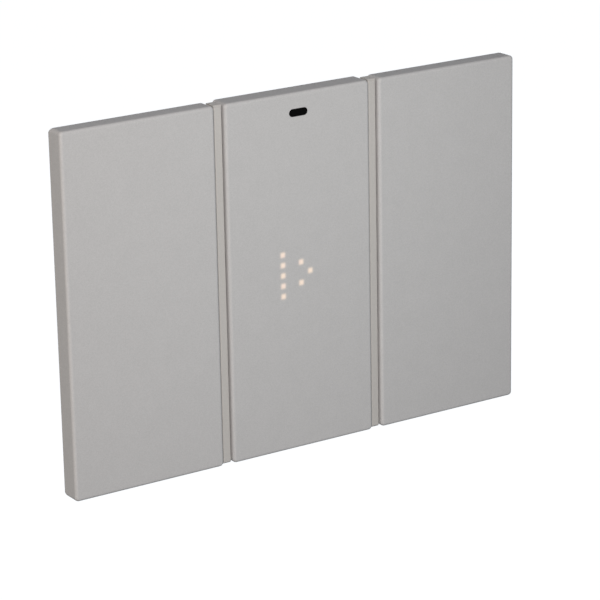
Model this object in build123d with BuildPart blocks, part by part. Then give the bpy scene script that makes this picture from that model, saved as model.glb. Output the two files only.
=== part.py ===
"""Touch switch for a three-module wall box: clip-on covers, touch boards, base frame and rear unit.

All sizes are in millimetres. X runs to the right, Y into the wall and Z up. The origin is the centre of the
plate on the wall plane. A level is a height above the wall plane towards the room, so levels inside the wall
are negative.
"""

import os

from build123d import *

# Covers
plate_height = 86.0
cover_width = 39.3
groove_width = 2.66
face_wall = 2.1
side_wall = 1.2
edge_radius = 0.75
corner_over_edge = 0.2
wall_end_gap = 0.1
outer_wall_gap = 0.15
lift_bevel_rise = 0.65
lift_bevel_depth = 1.0
bead_length = 8.0
bead_spacing = 22.0
bead_reach = 0.6
bead_thickness = 0.3
bead_gap = 0.1

# Stack between the wall and the covers
support_thickness = 1.2
floor_thickness = 0.9
board_thickness = 1.0
electrode_thickness = 0.2

# Black window and the sensor behind it
slot_width = 5.05
slot_height = 1.88
slot_drop = 4.7
lens_gap = 0.03
lens_recess = 0.04
lens_flange_margin = 0.9
lens_flange_thickness = 0.4
sensor_width = 4.0
sensor_height = 2.2
sensor_thickness = 0.8
sensor_gap = 0.1
pocket_gap = 0.2

# Light matrix behind the thin part of the centre cover
matrix_count = 5
matrix_pitch = 2.5
light_well = 1.3
led_size = 1.0
led_thickness = 0.5
mask_margin = 0.85
diffuser_thickness = 0.3
thin_wall = 0.5

# Base frame
ring_fit = 0.3
ring_wall = 0.8
ring_gap = 0.1
rib_gap = 0.29
rib_recess = 0.8
rib_inset = 0.15
rib_edge = 0.3
rib_end_chamfer = 0.45
key_width = 3.0
key_depth = 0.8
key_gap = 0.15
key_z = 12.0
lip_inset = 1.0
lip_width = 1.0
lip_clearance = 0.4
hook_length = 6.0
hook_spacing = 30.0
hook_leg = 1.2
hook_reach = 0.8
hook_gap = 0.3
hook_tip = 1.0
hook_catch_gap = 0.1

# Touch boards
board_gap = 0.2
electrode_margin = 1.5
ribbon_width = 8.0
ribbon_thickness = 0.2
ribbon_overlap = 4.0
ribbon_drop = 18.0
ribbon_gap = 0.3
channel_depth = 0.3
controller_size = 7.0
controller_thickness = 0.9
controller_z = 8.0
window_gap = 0.6

# Support frame, fixed to the wall box by two screws
support_margin = 3.5
support_corner = 5.0
land_width = 3.0
land_height = 0.4
opening_gap = 0.7
collar_wall = 1.2
collar_depth = 4.4
box_screw_spacing = 83.5
screw_slot_length = 7.0
screw_slot_radius = 1.9
cup_length = 10.6
cup_width = 8.0
cup_wall = 0.8
cup_depth = 2.0
hook_shelf = 1.0

# Rear housing
housing_width = 68.0
housing_height = 47.0
housing_depth = 28.2
housing_wall = 1.6
housing_corner = 3.0
housing_edge = 1.2
well_wall = 1.2
seat_thickness = 2.0
boss_radius = 2.2
boss_gap = 0.2
rest_size = 4.0
vent_count = 7
vent_pitch = 6.0
vent_width = 1.8
vent_length = 9.0
vent_setback = 4.0

# Self-tapping screws through the housing and the power board into the base frame
tapping_radius = 0.9
tapping_gap = 0.1
thread_reach = 6.0
pilot_end_gap = 0.8
tapping_head_radius = 2.0
tapping_head = 1.6
head_gap = 0.4
cross_width = 0.6
cross_length = 2.4
cross_depth = 0.8

# Power board
power_thickness = 1.6
power_gap = 0.6
tall_gap = 1.0

# Plug between the centre touch board and the power board
pin_count = 8
pin_pitch = 2.54
pin_size = 0.64
pin_gap = 0.08
pin_reach = 4.5
plug_width = 2.5
plug_gap = 1.5
header_thickness = 2.5
plug_z = -12.0

# Terminals
pole_count = 5
pole_pitch = 7.5
block_end_wall = 0.75
block_height = 11.5
block_edge = 0.6
block_sink = 0.4
bay_gap = 0.4
clamp_width = 4.8
clamp_height = 5.8
clamp_depth = 6.0
clamp_standoff = 2.4
clamp_floor = 0.9
clamp_gap = 0.2
wire_window = 3.4
entry_size = 3.8
entry_length = 3.2
entry_chamfer = 0.5
tail_size = 1.0
tail_gap = 0.2
tail_stickout = 1.2
clamp_screw_radius = 1.4
clamp_screw_gap = 0.1
clamp_screw_reach = 0.7
clamp_screw_head_radius = 2.1
clamp_screw_head = 1.8
clamp_screw_lift = 0.5
clamp_slot_width = 0.7
clamp_slot_depth = 0.9
screw_well_gap = 0.3

# Components on the power board, each standing on its back face
relay_width = 10.2
relay_height = 15.6
relay_depth = 12.4
relay_pitch = 11.6
relay_edge = 0.5
part_gap = 2.0
transformer_width = 12.0
transformer_height = 14.0
transformer_depth = 12.0
transformer_waist = 2.4
transformer_core = 5.0
capacitor_width = 18.0
capacitor_height = 7.5
capacitor_depth = 11.5
capacitor_edge = 0.8
can_radius = 4.0
can_depth = 12.0
can_edge = 0.4
varistor_radius = 4.0
varistor_thickness = 4.0
fuse_width = 8.4
fuse_height = 4.2
fuse_depth = 8.0
fuse_edge = 0.5
top_gap = 1.2

# Levels, from the wall towards the room
floor_back = support_thickness
floor_front = floor_back + floor_thickness
board_front = floor_front + board_thickness
face_back = board_front + electrode_thickness
face_front = face_back + face_wall
bead_front = floor_back - bead_gap
bead_back = bead_front - bead_thickness
outer_cover_back = outer_wall_gap
centre_cover_back = 0.0
rib_front = face_front - rib_recess

# Places across the front
panel_pitch = cover_width + groove_width
inner_width = cover_width - 2 * side_wall
inner_height = plate_height - 2 * side_wall
ring_width = inner_width - 2 * ring_fit
ring_height = inner_height - 2 * ring_fit
board_width = ring_width - 2 * ring_wall - 2 * board_gap
board_height = ring_height - 2 * ring_wall - 2 * board_gap
frame_width = 2 * panel_pitch + ring_width
lip_width_outside = frame_width - 2 * lip_inset
lip_height_outside = ring_height - 2 * lip_inset
support_width = lip_width_outside - 2 * lip_width - 2 * support_margin
support_height = lip_height_outside - 2 * lip_width - 2 * support_margin
slot_z = plate_height / 2 - slot_drop
ribbon_z = plate_height / 2 - ribbon_drop
outer_panels = (("left", -panel_pitch), ("right", panel_pitch))

# Light matrix and window pockets
mask_size = (matrix_count - 1) * matrix_pitch + light_well + 2 * mask_margin
mask_pocket = mask_size + 2 * pocket_gap
diffuser_front = face_front - thin_wall
mask_front = diffuser_front - diffuser_thickness
lens_flange_width = slot_width + 2 * lens_flange_margin
lens_flange_height = slot_height + 2 * lens_flange_margin
lens_flange_back = board_front + sensor_thickness + sensor_gap
lens_flange_front = lens_flange_back + lens_flange_thickness

# Rear unit
opening_width = housing_width + 2 * opening_gap
opening_height = housing_height + 2 * opening_gap
hook_z = opening_height / 2 + collar_wall + hook_shelf
well_radius = tapping_head_radius + head_gap
well_inset = housing_wall + boss_gap + boss_radius
well_x = housing_width / 2 - well_inset
well_z = housing_height / 2 - well_inset
screw_corners = ((-well_x, well_z), (well_x, -well_z))
rest_x = (housing_width - rest_size) / 2 - housing_wall
rest_z = (housing_height - rest_size) / 2 - housing_wall
rest_corners = ((-rest_x, -rest_z), (rest_x, rest_z))
housing_rear = floor_back - housing_depth
housing_floor = housing_rear + housing_wall
power_back = housing_floor + relay_depth + tall_gap
power_front = power_back + power_thickness
seat_back = power_back - seat_thickness
pilot_radius = tapping_radius + tapping_gap
tapping_tip = power_front + thread_reach
power_width = housing_width - 2 * housing_wall - 2 * power_gap
power_height = housing_height - 2 * housing_wall - 2 * power_gap
plug_length = pin_count * pin_pitch
header_back = floor_front - header_thickness
socket_front = header_back - plug_gap

# Terminals
block_width = pole_count * pole_pitch + 2 * block_end_wall
block_rear = housing_rear + block_sink
block_bottom = block_sink - housing_height / 2
block_top = block_bottom + block_height
clamp_front = power_back - clamp_standoff
clamp_rear = clamp_front - clamp_depth
clamp_z = block_bottom + entry_length + clamp_gap + clamp_height / 2
window_front = clamp_front - clamp_floor
window_rear = window_front - wire_window
wire_level = (window_front + window_rear) / 2
clamp_screw_seat = clamp_rear - clamp_screw_lift

# Rows of components: relays and transformer above the terminals, smaller ones under the housing's top wall
relay_z = block_top + part_gap + relay_height / 2
relay_row = 2 * relay_pitch + relay_width + part_gap + transformer_width
first_relay_x = (relay_width - relay_row) / 2
transformer_x = (relay_row - transformer_width) / 2
upper_row = capacitor_width + 2 * can_radius + varistor_thickness + fuse_width + 3 * part_gap
upper_row_top = housing_height / 2 - housing_wall - top_gap
capacitor_x = (capacitor_width - upper_row) / 2
can_x = capacitor_x + capacitor_width / 2 + part_gap + can_radius
varistor_x = can_x + can_radius + part_gap + varistor_thickness / 2
fuse_x = (upper_row - fuse_width) / 2


def save(piece, name):
    """Label a finished piece and write it to a file of its own."""
    piece.part.label = name
    export_step(piece.part, f"parts/{name}.step")


def mould_tray(cover, x, back, groove_sides):
    """Mould one cover as a shallow tray. Walls beside a groove stop just above the base frame's floor."""
    with BuildSketch(Plane.XZ.offset(back)) as outline:
        with Locations((x, 0)):
            RectangleRounded(cover_width, plate_height, edge_radius + corner_over_edge)
    extrude(outline.sketch, amount=face_front - back)
    fillet(cover.faces().sort_by(Axis.Y)[0].edges(), edge_radius)
    with BuildSketch(Plane.XZ.offset(back)) as hollow:
        with Locations((x, 0)):
            Rectangle(inner_width, inner_height)
    extrude(hollow.sketch, amount=face_back - back, mode=Mode.SUBTRACT)
    for side in groove_sides:
        with BuildSketch(Plane.XZ.offset(back)) as relief:
            with Locations((x + side * (cover_width - side_wall) / 2, 0)):
                Rectangle(side_wall, inner_height)
        extrude(relief.sketch, amount=floor_front + wall_end_gap - back, mode=Mode.SUBTRACT)


def mould_snap_beads(x):
    """Add four beads inside a cover's top and bottom walls, which snap behind the base frame's floor."""
    for bead_x in (x - bead_spacing / 2, x + bead_spacing / 2):
        for end in (-1, 1):
            with BuildSketch(Plane.YZ.offset(bead_x)) as bead:
                with BuildLine():
                    Polyline(
                        (-bead_front, end * inner_height / 2),
                        (-bead_front, end * (inner_height / 2 - bead_reach)),
                        (-bead_back, end * inner_height / 2),
                        close=True,
                    )
                make_face()
            extrude(bead.sketch, amount=bead_length / 2, both=True)


os.makedirs("parts", exist_ok=True)

# Outer covers. The rear edges of their top and bottom walls are bevelled, so that a tool can lift them off
for side_name, panel_x in outer_panels:
    outward = panel_x / panel_pitch
    with BuildPart() as outer_cover:
        mould_tray(outer_cover, panel_x, outer_cover_back, (-outward,))
        for end in (-1, 1):
            with BuildSketch(Plane.YZ.offset(panel_x)):
                with BuildLine():
                    Polyline(
                        (-outer_cover_back, end * (plate_height / 2 - lift_bevel_depth)),
                        (-outer_cover_back, end * plate_height / 2),
                        (-outer_cover_back - lift_bevel_rise, end * plate_height / 2),
                        close=True,
                    )
                make_face()
            extrude(amount=cover_width / 2, both=True, mode=Mode.SUBTRACT)
        mould_snap_beads(panel_x)
    save(outer_cover, f"{side_name}_cover")

# Centre cover, with the window slot and the pockets behind the window and the light matrix
with BuildPart() as centre_cover:
    mould_tray(centre_cover, 0, centre_cover_back, (-1, 1))
    mould_snap_beads(0)
    with BuildSketch(Plane.XZ.offset(face_back)):
        with Locations((0, slot_z)):
            SlotOverall(slot_width, slot_height)
    extrude(amount=face_wall, mode=Mode.SUBTRACT)
    with BuildSketch(Plane.XZ.offset(face_back)):
        with Locations((0, slot_z)):
            Rectangle(lens_flange_width + 2 * pocket_gap, lens_flange_height + 2 * pocket_gap)
    extrude(amount=lens_flange_front - face_back, mode=Mode.SUBTRACT)
    with BuildSketch(Plane.XZ.offset(face_back)):
        Rectangle(mask_pocket, mask_pocket)
    extrude(amount=diffuser_front - face_back, mode=Mode.SUBTRACT)
save(centre_cover, "centre_cover")

# Black window: a stem that fills the slot and a flange bonded behind it
with BuildPart() as sensor_window:
    with BuildSketch(Plane.XZ.offset(lens_flange_back)):
        with Locations((0, slot_z)):
            Rectangle(lens_flange_width, lens_flange_height)
    extrude(amount=lens_flange_thickness)
    with BuildSketch(Plane.XZ.offset(lens_flange_front)):
        with Locations((0, slot_z)):
            SlotOverall(slot_width - 2 * lens_gap, slot_height - 2 * lens_gap)
    extrude(amount=face_front - lens_recess - lens_flange_front)
save(sensor_window, "sensor_window")

# Diffuser sheet against the thin wall
with BuildPart() as diffuser_sheet:
    with BuildSketch(Plane.XZ.offset(mask_front)):
        Rectangle(mask_size, mask_size)
    extrude(amount=diffuser_thickness)
save(diffuser_sheet, "diffuser_sheet")

# Light mask: a grid of square wells that keeps the dots apart
with BuildPart() as light_mask:
    with BuildSketch(Plane.XZ.offset(board_front)):
        Rectangle(mask_size, mask_size)
        with GridLocations(matrix_pitch, matrix_pitch, matrix_count, matrix_count):
            Rectangle(light_well, light_well, mode=Mode.SUBTRACT)
    extrude(amount=mask_front - board_front)
save(light_mask, "light_mask")

# One light chip at the bottom of each well
with BuildPart() as matrix_leds:
    with BuildSketch(Plane.XZ.offset(board_front)):
        with GridLocations(matrix_pitch, matrix_pitch, matrix_count, matrix_count):
            Rectangle(led_size, led_size)
    extrude(amount=led_thickness)
save(matrix_leds, "matrix_leds")

# Proximity sensor behind the black window
with BuildPart() as proximity_sensor:
    with BuildSketch(Plane.XZ.offset(board_front)):
        with Locations((0, slot_z)):
            Rectangle(sensor_width, sensor_height)
    extrude(amount=sensor_thickness)
save(proximity_sensor, "proximity_sensor")

# Touch electrodes between the boards and the covers
electrode_width = board_width - 2 * electrode_margin
electrode_height = board_height - 2 * electrode_margin
for side_name, panel_x in outer_panels:
    with BuildPart() as electrode:
        with BuildSketch(Plane.XZ.offset(board_front)):
            with Locations((panel_x, 0)):
                Rectangle(electrode_width, electrode_height)
        extrude(amount=electrode_thickness)
    save(electrode, f"{side_name}_electrode")

with BuildPart() as centre_electrode:
    with BuildSketch(Plane.XZ.offset(board_front)):
        Rectangle(electrode_width, electrode_height)
        Rectangle(mask_pocket, mask_pocket, mode=Mode.SUBTRACT)
        with Locations((0, slot_z)):
            Rectangle(lens_flange_width, 2 * slot_drop, mode=Mode.SUBTRACT)
    extrude(amount=electrode_thickness)
save(centre_electrode, "centre_electrode")

# Touch boards, each notched for the two keys of its ring
key_spacing = ring_width - 2 * ring_wall - key_depth
for side_name, panel_x in (*outer_panels, ("centre", 0)):
    with BuildPart() as touch_board:
        with BuildSketch(Plane.XZ.offset(floor_front)):
            with Locations((panel_x, 0)):
                Rectangle(board_width, board_height)
            with Locations((panel_x, key_z)):
                with GridLocations(key_spacing, 0, 2, 1):
                    Rectangle(key_depth + 2 * key_gap, key_width + 2 * key_gap, mode=Mode.SUBTRACT)
        extrude(amount=board_thickness)
    save(touch_board, f"{side_name}_touch_board")

# Controller chip on the back of the centre board
with BuildPart() as touch_controller:
    with BuildSketch(Plane.XZ.offset(floor_front)):
        with Locations((0, controller_z)):
            Rectangle(controller_size, controller_size)
    extrude(amount=-controller_thickness)
save(touch_controller, "touch_controller")

# Flat ribbons that cross under the ribs from board to board
ribbon_length = panel_pitch - board_width + 2 * ribbon_overlap
for side_name, panel_x in outer_panels:
    with BuildPart() as link_ribbon:
        with BuildSketch(Plane.XZ.offset(floor_front)):
            with Locations((panel_x / 2, ribbon_z)):
                Rectangle(ribbon_length, ribbon_width)
        extrude(amount=-ribbon_thickness)
    save(link_ribbon, f"{side_name}_link_ribbon")

# Base frame: a floor with a ring round each board, a rib in each groove, and bosses and hooks on its back
with BuildPart() as base_frame:
    with BuildSketch(Plane.XZ.offset(floor_back)):
        Rectangle(frame_width, ring_height)
    extrude(amount=floor_thickness)
    with BuildSketch(Plane.XZ.offset(floor_back)):
        with GridLocations(panel_pitch, 0, 2, 1):
            Rectangle(groove_width - 2 * rib_gap, plate_height - 2 * rib_inset)
    extrude(amount=rib_front - floor_back)
    chamfer(base_frame.edges().filter_by(Axis.X).group_by(Axis.Y)[0], rib_end_chamfer)
    fillet(base_frame.faces().filter_by(Axis.Y).group_by(Axis.Y)[0].edges().filter_by(Axis.Z), rib_edge)
    with BuildSketch(Plane.XZ.offset(floor_front)):
        with GridLocations(panel_pitch, 0, 3, 1):
            Rectangle(ring_width, ring_height)
            Rectangle(ring_width - 2 * ring_wall, ring_height - 2 * ring_wall, mode=Mode.SUBTRACT)
        with Locations((0, key_z)):
            with GridLocations(panel_pitch, 0, 3, 1):
                with GridLocations(key_spacing, 0, 2, 1):
                    Rectangle(key_depth, key_width)
    extrude(amount=face_back - ring_gap - floor_front)
    with BuildSketch(Plane.XZ.offset(lip_clearance)):
        Rectangle(lip_width_outside, lip_height_outside)
        Rectangle(
            lip_width_outside - 2 * lip_width,
            lip_height_outside - 2 * lip_width,
            mode=Mode.SUBTRACT,
        )
    extrude(amount=floor_back - lip_clearance)
    with BuildSketch(Plane.XZ.offset(floor_back)):
        with Locations((0, plug_z)):
            Rectangle(plug_length + 2 * window_gap, plug_width + 2 * window_gap)
        with Locations((0, controller_z)):
            Rectangle(controller_size + 2 * window_gap, controller_size + 2 * window_gap)
    extrude(amount=floor_thickness, mode=Mode.SUBTRACT)
    with BuildSketch(Plane.XZ.offset(floor_front)):
        with Locations((0, ribbon_z)):
            with GridLocations(panel_pitch, 0, 2, 1):
                Rectangle(ribbon_length + 2 * ribbon_gap, ribbon_width + 2 * ribbon_gap)
    extrude(amount=-channel_depth, mode=Mode.SUBTRACT)
    with BuildSketch(Plane.XZ.offset(floor_back)):
        with Locations(*screw_corners):
            Circle(boss_radius)
    extrude(amount=power_front - floor_back)
    with BuildSketch(Plane.XZ.offset(power_front)):
        with Locations(*screw_corners):
            Circle(pilot_radius)
    extrude(amount=thread_reach + pilot_end_gap, mode=Mode.SUBTRACT)
    for hook_x in (-hook_spacing / 2, hook_spacing / 2):
        for end in (-1, 1):
            catch = hook_catch_gap - land_height
            with BuildSketch(Plane.YZ.offset(hook_x)):
                with BuildLine():
                    Polyline(
                        (-floor_back, end * hook_z),
                        (-floor_back, end * (hook_z + hook_leg)),
                        (catch, end * (hook_z + hook_leg)),
                        (catch, end * (hook_z + hook_leg + hook_reach)),
                        (catch + hook_tip, end * (hook_z + hook_leg)),
                        (catch + hook_tip, end * hook_z),
                        close=True,
                    )
                make_face()
            extrude(amount=hook_length / 2, both=True)
save(base_frame, "base_frame")

# Support frame: a plate with a raised land against the wall, a collar round the housing and two screw cups
with BuildPart() as support_frame:
    with BuildSketch(Plane.XZ.offset(land_height)):
        RectangleRounded(support_width, support_height, support_corner)
    extrude(amount=support_thickness - land_height)
    with BuildSketch(Plane.XZ):
        RectangleRounded(support_width, support_height, support_corner)
        Rectangle(support_width - 2 * land_width, support_height - 2 * land_width, mode=Mode.SUBTRACT)
    extrude(amount=land_height)
    with BuildSketch(Plane.XZ.offset(land_height)):
        RectangleRounded(
            opening_width + 2 * collar_wall,
            opening_height + 2 * collar_wall,
            housing_corner + opening_gap + collar_wall,
        )
    extrude(amount=-collar_depth)
    with BuildSketch(Plane.XZ.offset(land_height)):
        with GridLocations(box_screw_spacing, 0, 2, 1):
            SlotOverall(cup_length + 2 * cup_wall, cup_width + 2 * cup_wall)
    extrude(amount=-cup_depth)
    with BuildSketch(Plane.XZ.offset(support_thickness)):
        with GridLocations(box_screw_spacing, 0, 2, 1):
            SlotOverall(cup_length, cup_width)
    extrude(amount=cup_wall - cup_depth - support_thickness + land_height, mode=Mode.SUBTRACT)
    with BuildSketch(Plane.XZ.offset(support_thickness)):
        with GridLocations(box_screw_spacing, 0, 2, 1):
            SlotOverall(screw_slot_length, 2 * screw_slot_radius)
        RectangleRounded(opening_width, opening_height, housing_corner + opening_gap)
        for end in (-1, 1):
            with Locations((0, end * (hook_z + hook_leg / 2))):
                with GridLocations(hook_spacing, 0, 2, 1):
                    Rectangle(hook_length + 2 * hook_gap, hook_leg + 2 * hook_gap)
    extrude(amount=-support_thickness - collar_depth - cup_depth, mode=Mode.SUBTRACT)
save(support_frame, "support_frame")

# Rear housing: a box with two screw wells and two rests that carry the power board, vents and a terminal bay
with BuildPart() as rear_housing:
    with BuildSketch(Plane.XZ.offset(housing_rear)):
        RectangleRounded(housing_width, housing_height, housing_corner)
    extrude(amount=housing_depth)
    chamfer(rear_housing.faces().sort_by(Axis.Y)[-1].edges(), housing_edge)
    with BuildSketch(Plane.XZ.offset(housing_floor)):
        RectangleRounded(
            housing_width - 2 * housing_wall,
            housing_height - 2 * housing_wall,
            housing_corner - housing_wall,
        )
    extrude(amount=floor_back - housing_floor, mode=Mode.SUBTRACT)
    with BuildSketch(Plane.XZ.offset(housing_floor)):
        with Locations(*screw_corners):
            Circle(well_radius + well_wall)
        with Locations(*rest_corners):
            Rectangle(rest_size, rest_size)
    extrude(amount=power_back - housing_floor)
    with BuildSketch(Plane.XZ.offset(housing_rear)):
        with Locations(*screw_corners):
            Circle(well_radius)
    extrude(amount=seat_back - housing_rear, mode=Mode.SUBTRACT)
    with BuildSketch(Plane.XZ.offset(seat_back)):
        with Locations(*screw_corners):
            Circle(pilot_radius)
    extrude(amount=seat_thickness, mode=Mode.SUBTRACT)
    with BuildSketch(Plane.XZ.offset(housing_rear)):
        bay_height = block_top + bay_gap + housing_height / 2
        with Locations((0, -housing_height / 2)):
            Rectangle(block_width + 2 * bay_gap, bay_height, align=(Align.CENTER, Align.MIN))
    extrude(amount=power_back - housing_rear, mode=Mode.SUBTRACT)
    with BuildSketch(Plane.XY.offset(housing_height / 2)):
        with Locations((0, -housing_floor - vent_setback)):
            with GridLocations(vent_pitch, 0, vent_count, 1):
                Rectangle(vent_width, vent_length, align=(Align.CENTER, Align.MAX))
    extrude(amount=-housing_wall, mode=Mode.SUBTRACT)
save(rear_housing, "rear_housing")

# Cross-head screws that clamp the housing and the power board to the base frame's bosses
with BuildPart() as housing_screws:
    with BuildSketch(Plane.XZ.offset(seat_back)):
        with Locations(*screw_corners):
            Circle(tapping_head_radius)
    extrude(amount=-tapping_head)
    with BuildSketch(Plane.XZ.offset(seat_back)):
        with Locations(*screw_corners):
            Circle(tapping_radius)
    extrude(amount=tapping_tip - seat_back)
    with BuildSketch(Plane.XZ.offset(seat_back - tapping_head)):
        with Locations(*screw_corners):
            Rectangle(cross_length, cross_width)
            Rectangle(cross_width, cross_length)
    extrude(amount=cross_depth, mode=Mode.SUBTRACT)
save(housing_screws, "housing_screws")

# Power board, clamped at two corners between the housing's wells and the base frame's bosses
with BuildPart() as power_board:
    with BuildSketch(Plane.XZ.offset(power_back)):
        Rectangle(power_width, power_height)
        with Locations(*screw_corners):
            Circle(pilot_radius, mode=Mode.SUBTRACT)
        with Locations((0, clamp_z)):
            with GridLocations(pole_pitch, 0, pole_count, 1):
                Rectangle(tail_size + 2 * tail_gap, tail_size + 2 * tail_gap, mode=Mode.SUBTRACT)
    extrude(amount=power_thickness)
save(power_board, "power_board")

# Pin header on the centre touch board, its pins, and the socket on the power board
with BuildPart() as pin_header:
    with BuildSketch(Plane.XZ.offset(floor_front)):
        with Locations((0, plug_z)):
            Rectangle(plug_length, plug_width)
            with GridLocations(pin_pitch, 0, pin_count, 1):
                Rectangle(pin_size + 2 * pin_gap, pin_size + 2 * pin_gap, mode=Mode.SUBTRACT)
    extrude(amount=-header_thickness)
save(pin_header, "pin_header")

with BuildPart() as header_pins:
    with BuildSketch(Plane.XZ.offset(floor_front)):
        with Locations((0, plug_z)):
            with GridLocations(pin_pitch, 0, pin_count, 1):
                Rectangle(pin_size, pin_size)
    extrude(amount=socket_front - pin_reach - floor_front)
save(header_pins, "header_pins")

with BuildPart() as board_socket:
    with BuildSketch(Plane.XZ.offset(power_front)):
        with Locations((0, plug_z)):
            Rectangle(plug_length, plug_width)
            with GridLocations(pin_pitch, 0, pin_count, 1):
                Rectangle(pin_size + 2 * pin_gap, pin_size + 2 * pin_gap, mode=Mode.SUBTRACT)
    extrude(amount=socket_front - power_front)
save(board_socket, "board_socket")

# Terminal block: for each pole a chamber, a wire entry from below and a screw well from the back
with BuildPart() as terminal_block:
    with BuildSketch(Plane.XZ.offset(block_rear)):
        with Locations((0, (block_bottom + block_top) / 2)):
            Rectangle(block_width, block_height)
    extrude(amount=power_back - block_rear)
    chamfer(terminal_block.faces().sort_by(Axis.Y)[-1].edges(), block_edge)
    with BuildSketch(Plane.XZ.offset(clamp_rear - clamp_gap)):
        with Locations((0, clamp_z)):
            with GridLocations(pole_pitch, 0, pole_count, 1):
                Rectangle(clamp_width + 2 * clamp_gap, clamp_height + 2 * clamp_gap)
    extrude(amount=clamp_depth + 2 * clamp_gap, mode=Mode.SUBTRACT)
    with BuildSketch(Plane.XZ.offset(clamp_front)):
        with Locations((0, clamp_z)):
            with GridLocations(pole_pitch, 0, pole_count, 1):
                Rectangle(tail_size + 2 * tail_gap, tail_size + 2 * tail_gap)
    extrude(amount=clamp_standoff, mode=Mode.SUBTRACT)
    with BuildSketch(Plane.XZ.offset(block_rear)):
        with Locations((0, clamp_z)):
            with GridLocations(pole_pitch, 0, pole_count, 1):
                Circle(clamp_screw_head_radius + screw_well_gap)
    extrude(amount=clamp_rear - block_rear, mode=Mode.SUBTRACT)
    with BuildSketch(Plane.XY.offset(block_bottom)):
        with Locations((0, -wire_level)):
            with GridLocations(pole_pitch, 0, pole_count, 1):
                Rectangle(entry_size, entry_size)
    extrude(amount=entry_length + clamp_gap, mode=Mode.SUBTRACT)
    mouths = terminal_block.faces().sort_by(Axis.Z)[0].inner_wires()
    chamfer(mouths.edges(), entry_chamfer)
save(terminal_block, "terminal_block")

# Wire clamps with their solder tails
with BuildPart() as terminal_clamps:
    with BuildSketch(Plane.XZ.offset(clamp_rear)):
        with Locations((0, clamp_z)):
            with GridLocations(pole_pitch, 0, pole_count, 1):
                Rectangle(clamp_width, clamp_height)
    extrude(amount=clamp_depth)
    with BuildSketch(Plane.XY.offset(clamp_z - clamp_height / 2)):
        with Locations((0, -wire_level)):
            with GridLocations(pole_pitch, 0, pole_count, 1):
                Rectangle(wire_window, wire_window)
    extrude(amount=clamp_height, mode=Mode.SUBTRACT)
    with BuildSketch(Plane.XZ.offset(clamp_rear)):
        with Locations((0, clamp_z)):
            with GridLocations(pole_pitch, 0, pole_count, 1):
                Circle(clamp_screw_radius + clamp_screw_gap)
    extrude(amount=window_rear - clamp_rear, mode=Mode.SUBTRACT)
    with BuildSketch(Plane.XZ.offset(clamp_front)):
        with Locations((0, clamp_z)):
            with GridLocations(pole_pitch, 0, pole_count, 1):
                Rectangle(tail_size, tail_size)
    extrude(amount=power_front + tail_stickout - clamp_front)
save(terminal_clamps, "terminal_clamps")

# Slotted clamp screws
with BuildPart() as terminal_screws:
    with BuildSketch(Plane.XZ.offset(clamp_screw_seat)):
        with Locations((0, clamp_z)):
            with GridLocations(pole_pitch, 0, pole_count, 1):
                Circle(clamp_screw_head_radius)
    extrude(amount=-clamp_screw_head)
    with BuildSketch(Plane.XZ.offset(clamp_screw_seat)):
        with Locations((0, clamp_z)):
            with GridLocations(pole_pitch, 0, pole_count, 1):
                Circle(clamp_screw_radius)
    extrude(amount=window_rear + clamp_screw_reach - clamp_screw_seat)
    with BuildSketch(Plane.XZ.offset(clamp_screw_seat - clamp_screw_head)):
        with Locations((0, clamp_z)):
            with GridLocations(pole_pitch, 0, pole_count, 1):
                Rectangle(2 * clamp_screw_head_radius, clamp_slot_width)
    extrude(amount=clamp_slot_depth, mode=Mode.SUBTRACT)
save(terminal_screws, "terminal_screws")

# Relays, one for each cover
for place, side_name in enumerate(("left", "centre", "right")):
    with BuildPart() as relay:
        with BuildSketch(Plane.XZ.offset(power_back)):
            with Locations((first_relay_x + place * relay_pitch, relay_z)):
                Rectangle(relay_width, relay_height)
        extrude(amount=-relay_depth)
        chamfer(relay.faces().sort_by(Axis.Y)[-1].edges(), relay_edge)
    save(relay, f"{side_name}_relay")

# Supply transformer: a core frame round a narrower winding
with BuildPart() as supply_transformer:
    with BuildSketch(Plane.XZ.offset(power_back)):
        with Locations((transformer_x, relay_z)):
            Rectangle(transformer_width, transformer_height)
            with GridLocations(transformer_width, 0, 2, 1):
                Rectangle(transformer_waist, transformer_height - transformer_core, mode=Mode.SUBTRACT)
    extrude(amount=-transformer_depth)
save(supply_transformer, "supply_transformer")

# Film capacitor across the mains
with BuildPart() as filter_capacitor:
    with BuildSketch(Plane.XZ.offset(power_back)):
        with Locations((capacitor_x, upper_row_top)):
            Rectangle(capacitor_width, capacitor_height, align=(Align.CENTER, Align.MAX))
    extrude(amount=-capacitor_depth)
    chamfer(filter_capacitor.faces().sort_by(Axis.Y)[-1].edges(), capacitor_edge)
save(filter_capacitor, "filter_capacitor")

# Smoothing capacitor: an upright can
with BuildPart() as smoothing_capacitor:
    with BuildSketch(Plane.XZ.offset(power_back)):
        with Locations((can_x, upper_row_top - can_radius)):
            Circle(can_radius)
    extrude(amount=-can_depth)
    chamfer(smoothing_capacitor.faces().sort_by(Axis.Y)[-1].edges(), can_edge)
save(smoothing_capacitor, "smoothing_capacitor")

# Surge varistor: a coated disc on edge
with BuildPart() as surge_varistor:
    with BuildSketch(Plane.YZ.offset(varistor_x - varistor_thickness / 2)):
        with Locations((varistor_radius - power_back, upper_row_top - varistor_radius)):
            Circle(varistor_radius)
    extrude(amount=varistor_thickness)
save(surge_varistor, "surge_varistor")

# Fuse in a moulded case
with BuildPart() as fuse:
    with BuildSketch(Plane.XZ.offset(power_back)):
        with Locations((fuse_x, upper_row_top)):
            Rectangle(fuse_width, fuse_height, align=(Align.CENTER, Align.MAX))
    extrude(amount=-fuse_depth)
    chamfer(fuse.faces().sort_by(Axis.Y)[-1].edges(), fuse_edge)
save(fuse, "fuse")
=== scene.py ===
"""Looks of the touch switch: painted covers, ribs, lit dots, rear unit, studio and camera."""

from math import radians

import bpy
import numpy as np
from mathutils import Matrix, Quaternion, Vector


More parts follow.
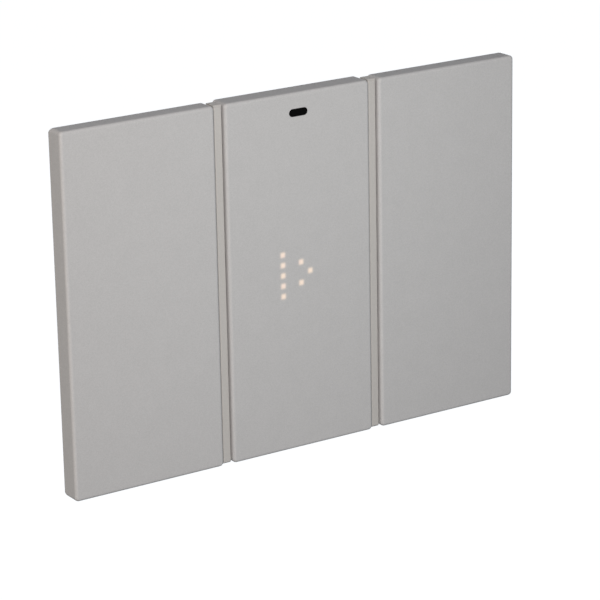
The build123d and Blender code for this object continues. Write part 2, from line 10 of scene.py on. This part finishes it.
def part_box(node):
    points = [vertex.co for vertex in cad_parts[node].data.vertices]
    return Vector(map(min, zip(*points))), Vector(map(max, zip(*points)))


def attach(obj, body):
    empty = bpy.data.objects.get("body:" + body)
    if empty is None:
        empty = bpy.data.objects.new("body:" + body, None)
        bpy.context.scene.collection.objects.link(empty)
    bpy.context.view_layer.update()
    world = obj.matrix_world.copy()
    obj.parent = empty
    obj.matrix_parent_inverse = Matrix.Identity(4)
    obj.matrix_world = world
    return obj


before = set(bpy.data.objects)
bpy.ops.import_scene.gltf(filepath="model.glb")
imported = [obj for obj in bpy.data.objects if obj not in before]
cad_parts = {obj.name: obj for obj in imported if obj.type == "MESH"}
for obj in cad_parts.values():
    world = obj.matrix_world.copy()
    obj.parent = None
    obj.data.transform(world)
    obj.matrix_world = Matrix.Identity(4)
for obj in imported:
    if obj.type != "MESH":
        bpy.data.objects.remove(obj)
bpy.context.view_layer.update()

mm = 0.001
WHITE = (1.0, 1.0, 1.0)
SIDES = ("left", "centre", "right")

# Sockets of a colour mix, which share their names with others on the same node
MIX_FACTOR = 0
MIX_FIRST = 6
MIX_SECOND = 7
MIX_COLOUR = 2


def shade(colour, amount=1.0):
    """A colour made lighter or darker by a factor, with full opacity."""
    return (*(channel * amount for channel in colour), 1.0)


class Finish:
    """One surface finish: a plain shader, and short ways to add the patterns that vary it."""

    def __init__(self, name, **sockets):
        self.material = bpy.data.materials.new(name)
        self.material.use_nodes = True
        self.tree = self.material.node_tree
        self.shader = self.tree.nodes["Principled BSDF"]
        self.place = self.add("ShaderNodeTexCoord").outputs["Object"]
        for socket, value in sockets.items():
            self.set(socket.replace("_", " "), value)

    def add(self, kind, inputs=None, **settings):
        """A new node, with its settings, and its inputs as numbers or as links from other nodes."""
        node = self.tree.nodes.new(kind)
        for name, value in settings.items():
            setattr(node, name, value)
        for key, value in (inputs or {}).items():
            self.feed(node.inputs[key], value)
        return node

    def feed(self, socket, value):
        """Link an output to a socket, or set the socket's own value."""
        if isinstance(value, bpy.types.NodeSocket):
            self.tree.links.new(value, socket)
        else:
            socket.default_value = value

    def set(self, name, value):
        """Feed one of the shader's own sockets."""
        self.feed(self.shader.inputs[name], value)

    def grain(self, size, detail=2.0, stretch=(1, 1, 1)):
        """Noise with lumps about as wide as size, drawn out along each axis by stretch."""
        scale = [1 / (size * along) for along in stretch]
        lumps = self.add("ShaderNodeMapping", {"Vector": self.place, "Scale": scale})
        noise = {"Vector": lumps.outputs["Vector"], "Scale": 1.0, "Detail": detail}
        return self.add("ShaderNodeTexNoise", noise).outputs["Fac"]

    def flakes(self, size):
        """A random value for each cell of a mosaic with cells about as wide as size."""
        cells = {"Vector": self.place, "Scale": 1 / size}
        colour = self.add("ShaderNodeTexVoronoi", cells).outputs["Color"]
        return self.add("ShaderNodeSeparateColor", {"Color": colour}).outputs["Red"]

    def fields(self, size):
        """A mosaic in X and Z with cells about as wide as size.

        Gives a random value for each cell, and the distance from its centre counted in cell widths.
        """
        axes = self.add("ShaderNodeSeparateXYZ", {"Vector": self.place}).outputs
        flat = self.add("ShaderNodeCombineXYZ", {"X": axes["X"], "Y": axes["Z"]}).outputs["Vector"]
        cells = {"Vector": flat, "Scale": 1 / size}
        mosaic = self.add("ShaderNodeTexVoronoi", cells, voronoi_dimensions="2D").outputs
        value = self.add("ShaderNodeSeparateColor", {"Color": mosaic["Color"]}).outputs["Red"]
        return value, mosaic["Distance"]

    def span(self, value, low, high, start=0.3, end=0.7):
        """Carry a pattern's usual range, from start to end, over to low and high."""
        ends = {"Value": value, "From Min": start, "From Max": end, "To Min": low, "To Max": high}
        return self.add("ShaderNodeMapRange", ends).outputs["Result"]

    def combine(self, first, second, operation="ADD"):
        """Arithmetic on two values."""
        return self.add("ShaderNodeMath", {0: first, 1: second}, operation=operation).outputs[0]

    def blend(self, factor, first, second):
        """A colour between two others."""
        ends = {MIX_FACTOR: factor, MIX_FIRST: first, MIX_SECOND: second}
        return self.add("ShaderNodeMix", ends, data_type="RGBA").outputs[MIX_COLOUR]

    def axis(self, name, start=0.0):
        """One coordinate of the surface point, counted from a start."""
        along = self.add("ShaderNodeSeparateXYZ", {"Vector": self.place}).outputs[name]
        return self.combine(along, start, "SUBTRACT")

    def waves(self, value, length):
        """A wave between 0 and 1 that is highest at 0 and each time a value grows by length."""
        turns = self.combine(value, 2 * np.pi / length, "MULTIPLY")
        return self.span(self.combine(turns, 0.0, "COSINE"), 0.0, 1.0, -1.0, 1.0)

    def ring_distance(self, centres):
        """Distance, square to the Y axis, to the nearest of some points given as x and z."""
        flat = self.add("ShaderNodeVectorMath", {0: self.place, 1: (1, 0, 1)}, operation="MULTIPLY")
        nearest = None
        for x, z in centres:
            ends = {0: flat.outputs[0], 1: (x, 0, z)}
            gap = self.add("ShaderNodeVectorMath", ends, operation="DISTANCE").outputs["Value"]
            nearest = gap if nearest is None else self.combine(nearest, gap, "MINIMUM")
        return nearest

    def mottle(self, colour, *layers):
        """Base colour varied by layers, each given as a pattern and its share up and down."""
        total = None
        for pattern, share in layers:
            part = self.span(pattern, -share, share)
            total = part if total is None else self.combine(total, part)
        reach = sum(share for _, share in layers)
        factor = self.span(total, 0.0, 1.0, -reach, reach)
        self.set("Base Color", self.blend(factor, shade(colour, 1 - reach), shade(colour, 1 + reach)))

    def relief(self, height, depth):
        """Rises and dents in the surface, as deep as depth where height goes from 0 to 1."""
        bump = {"Height": height, "Distance": depth}
        before = self.shader.inputs["Normal"].links
        if before:
            bump["Normal"] = before[0].from_socket
        self.set("Normal", self.add("ShaderNodeBump", bump).outputs["Normal"])


def dress(finish, *nodes):
    """Give some of the frame's nodes one finish."""
    for node in nodes:
        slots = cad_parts[node].data.materials
        slots.clear()
        slots.append(finish.material)


def middle(node):
    """The centre of a node's box."""
    low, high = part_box(node)
    return (low + high) / 2


def satin_paint(name):
    """Satin silver-grey paint on moulded plastic: fine flakes, faint clouds and an orange-peel surface."""
    paint = Finish(name, Specular_IOR_Level=0.05)
    speckle = paint.grain(0.3 * mm, detail=1.0)
    clouds = paint.grain(5.0 * mm, detail=3.0)
    paint.mottle((0.470, 0.470, 0.466), (speckle, 0.035), (clouds, 0.012), (paint.flakes(0.25 * mm), 0.02))
    paint.set("Roughness", paint.span(paint.grain(0.8 * mm), 0.46, 0.58))
    paint.relief(paint.grain(0.45 * mm), 0.006 * mm)
    return paint


def moulded(name, colour, rough=0.55, flow=(1, 1, 1), depth=0.008 * mm):
    """Moulded plastic: a fine eroded texture, and flow marks drawn out along the way that it filled."""
    plastic = Finish(name, Specular_IOR_Level=0.4)
    texture = plastic.grain(0.25 * mm, detail=3.0)
    flow_marks = plastic.grain(3.0 * mm, detail=4.0, stretch=flow)
    plastic.mottle(colour, (texture, 0.04), (flow_marks, 0.02))
    plastic.set("Roughness", plastic.span(flow_marks, rough - 0.02, rough + 0.03))
    plastic.relief(texture, depth)
    return plastic


def glass_filled(name, colour):
    """Dark plastic with short glass fibres: pale streaks both ways along the face, and a dull skin."""
    plastic = Finish(name, Specular_IOR_Level=0.4)
    fibres_across = plastic.grain(0.14 * mm, detail=1.0, stretch=(7, 1, 1))
    fibres_up = plastic.grain(0.14 * mm, detail=1.0, stretch=(1, 1, 7))
    patches = plastic.grain(4.0 * mm, detail=4.0)
    plastic.mottle(colour, (fibres_across, 0.12), (fibres_up, 0.12), (patches, 0.03))
    plastic.set("Roughness", plastic.span(patches, 0.59, 0.64))
    plastic.relief(plastic.combine(fibres_across, fibres_up), 0.01 * mm)
    return plastic


def plated(name, colour, rough=0.32):
    """Plated or rolled metal: fine scratches drawn out along X, and faint clouds of tarnish."""
    metal = Finish(name, Metallic=1.0)
    scratches = metal.grain(0.12 * mm, detail=3.0, stretch=(8, 1, 1))
    tarnish = metal.grain(1.2 * mm, detail=4.0)
    metal.mottle(colour, (tarnish, 0.12), (scratches, 0.06))
    metal.set("Roughness", metal.span(tarnish, rough - 0.08, rough + 0.14))
    metal.relief(scratches, 0.003 * mm)
    return metal


def turned_steel(name, centres):
    """Zinc-plated screw steel: rings from turning round each screw's axis, and faint clouds of tarnish."""
    steel = Finish(name, Metallic=1.0)
    rings = steel.waves(steel.ring_distance(centres), 0.16 * mm)
    tarnish = steel.grain(0.7 * mm, detail=4.0)
    steel.mottle((0.60, 0.61, 0.62), (tarnish, 0.12), (rings, 0.03))
    steel.set("Roughness", steel.span(tarnish, 0.24, 0.42))
    steel.relief(rings, 0.004 * mm)
    return steel


def circuit_board(name):
    """Green solder mask over copper: fields of tracks up or across, plain fields and tinned holes.

    The weave of the glass cloth shows faintly through all of it.
    """
    board = Finish(name, Specular_IOR_Level=0.5)
    kind, off_centre = board.fields(5.0 * mm)
    hole = board.span(off_centre, 1.0, 0.0, 0.07, 0.085)
    lines_up = board.span(board.waves(board.axis("X"), 1.0 * mm), 0.0, 1.0, 0.5, 0.65)
    lines_across = board.span(board.waves(board.axis("Z"), 1.0 * mm), 0.0, 1.0, 0.5, 0.65)
    up = board.combine(lines_up, board.span(kind, 1.0, 0.0, 0.4, 0.41), "MULTIPLY")
    across = board.combine(lines_across, board.span(kind, 0.0, 1.0, 0.65, 0.66), "MULTIPLY")
    track = board.combine(up, across)
    weave = board.combine(board.waves(board.axis("X"), 0.5 * mm), board.waves(board.axis("Z"), 0.5 * mm))
    green = board.blend(track, shade((0.010, 0.085, 0.032)), shade((0.030, 0.165, 0.062)))
    board.set("Base Color", board.blend(hole, green, shade((0.58, 0.57, 0.53))))
    board.set("Roughness", board.span(weave, 0.28, 0.4, 0.0, 2.0))
    board.relief(track, 0.03 * mm)
    board.relief(weave, 0.002 * mm)
    return board


def ribbon_film(name):
    """Amber film over flat conductors that run along X, one each millimetre."""
    film = Finish(name, Specular_IOR_Level=0.5)
    conductor = film.span(film.waves(film.axis("Z"), 1.0 * mm), 0.0, 1.0, 0.4, 0.5)
    film.set("Base Color", film.blend(conductor, shade((0.55, 0.25, 0.04)), shade((0.40, 0.14, 0.025))))
    film.set("Roughness", film.span(film.grain(0.6 * mm, detail=3.0), 0.2, 0.34))
    film.relief(conductor, 0.02 * mm)
    return film


def wound_core(name, node, winding_height):
    """Dark ferrite at both ends, and between them a winding under turns of yellow tape."""
    core = Finish(name, Specular_IOR_Level=0.4)
    height = core.combine(core.axis("Z", middle(node).z), 0.0, "ABSOLUTE")
    ferrite = core.span(height, 0.0, 1.0, winding_height / 2, winding_height / 2 + 0.05 * mm)
    lap = core.waves(core.axis("Z", middle(node).z), 2.2 * mm)
    pores = core.grain(0.2 * mm, detail=3.0)
    tape = core.blend(core.span(lap, 0.0, 1.0), shade((0.42, 0.32, 0.05)), shade((0.56, 0.45, 0.09)))
    dark, pale = shade((0.040, 0.040, 0.043)), shade((0.065, 0.064, 0.066))
    grey = core.blend(core.span(pores, 0.0, 1.0), dark, pale)
    core.set("Base Color", core.blend(ferrite, tape, grey))
    core.set("Roughness", core.span(pores, 0.3, 0.5))
    core.relief(lap, 0.05 * mm)
    core.relief(pores, 0.006 * mm)
    return core


def shrink_sleeve(name, node, radius):
    """Dark shrunk film round a can, with a pale stripe along the side where its minus lead is."""
    sleeve = Finish(name, Specular_IOR_Level=0.5)
    ripples = sleeve.grain(0.8 * mm, detail=3.0, stretch=(1, 5, 1))
    stripe = sleeve.span(sleeve.axis("X", middle(node).x), 0.0, 1.0, 0.86 * radius, 0.87 * radius)
    sleeve.set("Base Color", sleeve.blend(stripe, shade((0.020, 0.020, 0.025)), shade((0.42, 0.42, 0.44))))
    sleeve.set("Roughness", sleeve.span(ripples, 0.16, 0.34))
    sleeve.relief(ripples, 0.02 * mm)
    return sleeve


def dipped_coat(name, colour):
    """Glossy dipped coating, uneven in thickness, with fine pits."""
    coat = Finish(name, Specular_IOR_Level=0.5)
    lumps = coat.grain(1.6 * mm)
    pits = coat.grain(0.2 * mm)
    coat.mottle(colour, (lumps, 0.12), (pits, 0.06))
    coat.set("Roughness", coat.span(lumps, 0.16, 0.3))
    coat.relief(lumps, 0.06 * mm)
    coat.relief(pits, 0.004 * mm)
    return coat


def light_chips(name, node, pitch):
    """White chip cases with a round spot of yellow phosphor in the middle of each."""
    chips = Finish(name, Specular_IOR_Level=0.5)
    centre = middle(node)
    rows = (chips.waves(chips.axis("X", centre.x), pitch), chips.waves(chips.axis("Z", centre.z), pitch))
    spot = chips.span(chips.combine(*rows, "MULTIPLY"), 0.0, 1.0, 0.84, 0.88)
    grit = chips.grain(0.06 * mm)
    chips.set("Base Color", chips.blend(spot, shade((0.82, 0.81, 0.79)), shade((0.80, 0.56, 0.12))))
    chips.set("Roughness", chips.span(grit, 0.24, 0.42))
    chips.relief(grit, 0.003 * mm)
    return chips


def milky_film(name):
    """Milky diffusing film with a fine matt bead on it."""
    film = Finish(name, Specular_IOR_Level=0.3)
    beads = film.grain(0.1 * mm, detail=1.0)
    film.mottle((0.85, 0.83, 0.80), (beads, 0.03), (film.grain(2.0 * mm), 0.02))
    film.set("Roughness", film.span(beads, 0.55, 0.75))
    film.relief(beads, 0.008 * mm)
    return film


# Covers, ribs and window
dress(satin_paint("cover_paint"), *(f"{side}_cover" for side in SIDES))

dress(moulded("rib_plastic", (0.437, 0.424, 0.402), flow=(1, 1, 8)), "base_frame")

window = Finish("window_black", Base_Color=shade(WHITE, 0.002), Specular_IOR_Level=0.02)
window.set("Roughness", window.span(window.grain(0.6 * mm), 0.1, 0.2))
window.relief(window.grain(0.3 * mm), 0.002 * mm)
dress(window, "sensor_window")

# Lit symbol: a bar and an arrowhead of dots on the light mask's grid
dot_pitch = 2.5 * mm
dot_half_width = 0.61 * mm
dot_softness = 0.12 * mm
dot_lift = 0.12 * mm
dot_strength = 0.475
tile_half_width = 1.2 * mm
tile_rise = 0.003 * mm
tile_steps = 21
bar_dots = [(-2, row) for row in range(-2, 3)]
arrow_dots = [(0, 1), (1, 0), (0, -1)]


def lit_dots():
    """Eight patches of light, each a thin closed tile over a square on the centre cover's face.

    A tile's front stands the rise above the face, its back lies as far behind it, and a rim joins them.
    With u and v from -1 to 1 across a tile, its glow is the product of two soft steps, one along each. A
    step is 1 over 1 plus e to the power of the distance past the dot's edge divided by the softness.
    """
    centre = middle("light_mask")
    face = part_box("centre_cover")[0].y
    cells = np.array(bar_dots + arrow_dots)
    line = np.linspace(-1, 1, tile_steps)
    u, v = np.meshgrid(line, line, indexing="ij")
    past_edge = abs(np.stack([u, v])) * tile_half_width - dot_half_width
    step_u, step_v = 1 / (1 + np.exp(past_edge / dot_softness))

    front = np.arange(tile_steps**2).reshape(tile_steps, tile_steps)
    back = front + tile_steps**2
    corners = [np.s_[:-1, :-1], np.s_[1:, :-1], np.s_[1:, 1:], np.s_[:-1, 1:]]
    front_faces = np.stack([front[c].ravel() for c in corners], 1)
    back_faces = np.stack([back[c].ravel() for c in corners[::-1]], 1)
    rim = np.concatenate([front[:-1, 0], front[-1, :-1], front[:0:-1, -1], front[0, :0:-1]])
    rim_next = np.roll(rim, -1)
    rim_faces = np.stack([rim_next, rim, rim + tile_steps**2, rim_next + tile_steps**2], 1)
    tile_faces = np.concatenate([front_faces, back_faces, rim_faces])

    across = np.tile(u.ravel(), 2) * tile_half_width
    up = np.tile(v.ravel(), 2) * tile_half_width + dot_lift
    out = np.repeat([-tile_rise, tile_rise], tile_steps**2)
    glow = np.tile((step_u * step_v).ravel(), 2)

    x = centre.x + cells[:, :1] * dot_pitch + across
    z = centre.z + cells[:, 1:] * dot_pitch + up
    y = np.broadcast_to(face + out, x.shape)
    points = np.stack([x, y, z], -1).reshape(-1, 3)
    first = np.arange(len(cells))[:, None, None] * len(across)
    faces = (tile_faces + first).reshape(-1, 4)

    mesh = bpy.data.meshes.new("lit_dots")
    mesh.from_pydata(points.tolist(), [], faces.tolist())
    mesh.attributes.new("glow", "FLOAT", "POINT").data.foreach_set("value", np.tile(glow, len(cells)))
    piece = bpy.data.objects.new("lit_dots", mesh)
    bpy.context.scene.collection.objects.link(piece)
    return piece


lit_paint = satin_paint("lit_paint")
tint = lit_paint.span(lit_paint.grain(2.0 * mm, detail=0.0), 0.0, 1.0)
lit_paint.set("Emission Color", lit_paint.blend(tint, shade((1.0, 0.635, 0.45)), shade((1.0, 0.69, 0.42))))
glow = lit_paint.add("ShaderNodeAttribute", attribute_name="glow").outputs["Fac"]
lit_paint.set("Emission Strength", lit_paint.combine(glow, dot_strength, "MULTIPLY"))
dots = lit_dots()
dots.data.materials.append(lit_paint.material)
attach(dots, "root")

# Light matrix, sensor and touch boards behind the covers
chip_black = moulded("chip_black", (0.015, 0.015, 0.016), rough=0.5)
board_green = circuit_board("board_green")

dress(milky_film("diffuser_white"), "diffuser_sheet")
dress(moulded("mask_black", (0.010, 0.010, 0.010), rough=0.7), "light_mask")
dress(light_chips("led_warm", "matrix_leds", dot_pitch), "matrix_leds")
dress(plated("copper", (0.72, 0.36, 0.20), rough=0.38), *(f"{side}_electrode" for side in SIDES))
dress(board_green, *(f"{side}_touch_board" for side in SIDES))
dress(chip_black, "proximity_sensor", "touch_controller")
dress(ribbon_film("ribbon_amber"), "left_link_ribbon", "right_link_ribbon")

# Frame on the wall and housing, with the mark of the gate where the plastic entered its mould
gate_z = 5.0 * mm
gate_radius = 2.2 * mm
gate_depth = 0.25 * mm
stub_radius = 0.77 * mm
stub_height = 0.2 * mm

dress(glass_filled("support_plastic", (0.030, 0.031, 0.033)), "support_frame")

housing_plastic = moulded("housing_plastic", (0.55, 0.55, 0.53), flow=(1, 6, 1), depth=0.015 * mm)
gate = housing_plastic.ring_distance([(middle("rear_housing").x, gate_z)])
dish = housing_plastic.span(gate, 0.0, 1.0, 0.9 * gate_radius, gate_radius)
stub = housing_plastic.span(gate, 1.0, 0.0, 0.57 * stub_radius, stub_radius)
housing_plastic.relief(dish, gate_depth)
housing_plastic.relief(stub, stub_height)
dress(housing_plastic, "rear_housing")

# Screws, each ringed round its own axis
housing_head_radius = 2.0 * mm
terminal_head_radius = 2.1 * mm
pole_count = 5

low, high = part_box("housing_screws")
corner = Vector((housing_head_radius, 0, -housing_head_radius))
first_screw = Vector((low.x, 0, high.z)) + corner
last_screw = Vector((high.x, 0, low.z)) - corner
housing_centres = [(first_screw.x, first_screw.z), (last_screw.x, last_screw.z)]
dress(turned_steel("housing_screw_steel", housing_centres), "housing_screws")

low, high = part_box("terminal_screws")
pole_places = np.linspace(low.x + terminal_head_radius, high.x - terminal_head_radius, pole_count)
terminal_centres = [(x, middle("terminal_screws").z) for x in pole_places]
dress(turned_steel("terminal_screw_steel", terminal_centres), "terminal_screws")

# Terminals and plug
dress(moulded("terminal_plastic", (0.050, 0.055, 0.060), rough=0.5), "terminal_block")
dress(plated("clamp_brass", (0.70, 0.55, 0.25)), "terminal_clamps")
dress(plated("pin_gold", (0.80, 0.62, 0.28), rough=0.22), "header_pins")
dress(chip_black, "pin_header", "board_socket")

# Power board and what stands on it
winding_height = 9.0 * mm
can_radius = 4.0 * mm

dress(board_green, "power_board")
dress(moulded("relay_case", (0.60, 0.35, 0.05), rough=0.36), *(f"{side}_relay" for side in SIDES))
dress(wound_core("transformer_core", "supply_transformer", winding_height), "supply_transformer")
dress(moulded("capacitor_film", (0.30, 0.31, 0.33), rough=0.42), "filter_capacitor")
dress(shrink_sleeve("capacitor_sleeve", "smoothing_capacitor", can_radius), "smoothing_capacitor")
dress(dipped_coat("varistor_coat", (0.03, 0.08, 0.25)), "surge_varistor")
dress(chip_black, "fuse")

# Camera, solved on the plate's edges in the photograph
eye = Vector((-340.66, -531.3, 192.3)) * mm
aim = Vector((-0.52, -5.4, -6.56)) * mm
roll = radians(-1.1)
lens = 169.4
sensor_width = 36.0

camera_data = bpy.data.cameras.new("camera")
camera_data.lens = lens
camera_data.sensor_width = sensor_width
camera = bpy.data.objects.new("camera", camera_data)
camera.location = eye
camera.rotation_mode = "QUATERNION"
camera.rotation_quaternion = (aim - eye).to_track_quat("-Z", "Y") @ Quaternion((0, 0, 1), roll)
bpy.context.scene.collection.objects.link(camera)
bpy.context.scene.camera = camera

bpy.context.scene.view_settings.view_transform = "Standard"


def soft_box(name, place, size, power, colour=WHITE):
    """A square studio light that faces the plate's centre and isn't seen itself."""
    data = bpy.data.lights.new(name, "AREA")
    data.size = size
    data.energy = power
    data.color = colour
    lamp = bpy.data.objects.new(name, data)
    lamp.location = place
    lamp.rotation_euler = (-Vector(place)).to_track_quat("-Z", "Y").to_euler()
    lamp.visible_camera = False
    bpy.context.scene.collection.objects.link(lamp)


soft_box("main_light", place=(-0.376, -0.518, 0.325), size=0.25, power=4.05, colour=(1.0, 0.911, 0.865))
soft_box("front_light", place=(0.007, -0.181, 0.049), size=0.05, power=0.103, colour=(0.92, 0.99, 1.0))
soft_box("left_light", place=(-1.0, -0.02, 0.1), size=0.4, power=1.75, colour=(1.0, 0.878, 0.709))
soft_box("rear_light", place=(0.42, 0.52, -0.1), size=0.28, power=3.6)


def seen_directly(tree):
    """1 for what the camera, a reflection or glass looks at, and 0 for light that spreads."""
    path = tree.nodes.new("ShaderNodeLightPath")
    total = path.outputs["Is Camera Ray"]
    for kind in ("Is Glossy Ray", "Is Transmission Ray"):
        either = tree.nodes.new("ShaderNodeMath")
        either.operation = "MAXIMUM"
        tree.links.new(total, either.inputs[0])
        tree.links.new(path.outputs[kind], either.inputs[1])
        total = either.outputs[0]
    return total


def studio_world(ambient):
    """A white backdrop for the eye, and an even soft light of the ambient colour for the object."""
    world = bpy.data.worlds.new("studio")
    bpy.context.scene.world = world
    world.use_nodes = True
    tree = world.node_tree
    tone = tree.nodes.new("ShaderNodeMix")
    tone.data_type = "RGBA"
    tone.inputs[MIX_FIRST].default_value = shade(ambient)
    tone.inputs[MIX_SECOND].default_value = shade(WHITE)
    tree.links.new(seen_directly(tree), tone.inputs[MIX_FACTOR])
    tree.links.new(tone.outputs[MIX_COLOUR], tree.nodes["Background"].inputs["Color"])


def studio_floor(level, reach, tone, lift):
    """A pale floor: paper that takes light and shadow, lifted to white where it is looked at."""
    signs = ((-1, -1), (1, -1), (1, 1), (-1, 1))
    corners = [(along * reach, across * reach, level) for along, across in signs]
    mesh = bpy.data.meshes.new("floor")
    mesh.from_pydata(corners, [], [(0, 1, 2, 3)])
    floor = bpy.data.objects.new("floor", mesh)
    bpy.context.scene.collection.objects.link(floor)
    paper = Finish("floor_paper", Base_Color=shade(WHITE, tone), Roughness=1.0, Specular_IOR_Level=0.0)
    paper.set("Emission Color", shade(WHITE))
    paper.set("Emission Strength", paper.combine(seen_directly(paper.tree), lift, "MULTIPLY"))
    mesh.materials.append(paper.material)


studio_world(ambient=(0.077, 0.098, 0.128))
studio_floor(level=-0.75, reach=8.0, tone=0.8, lift=0.935)
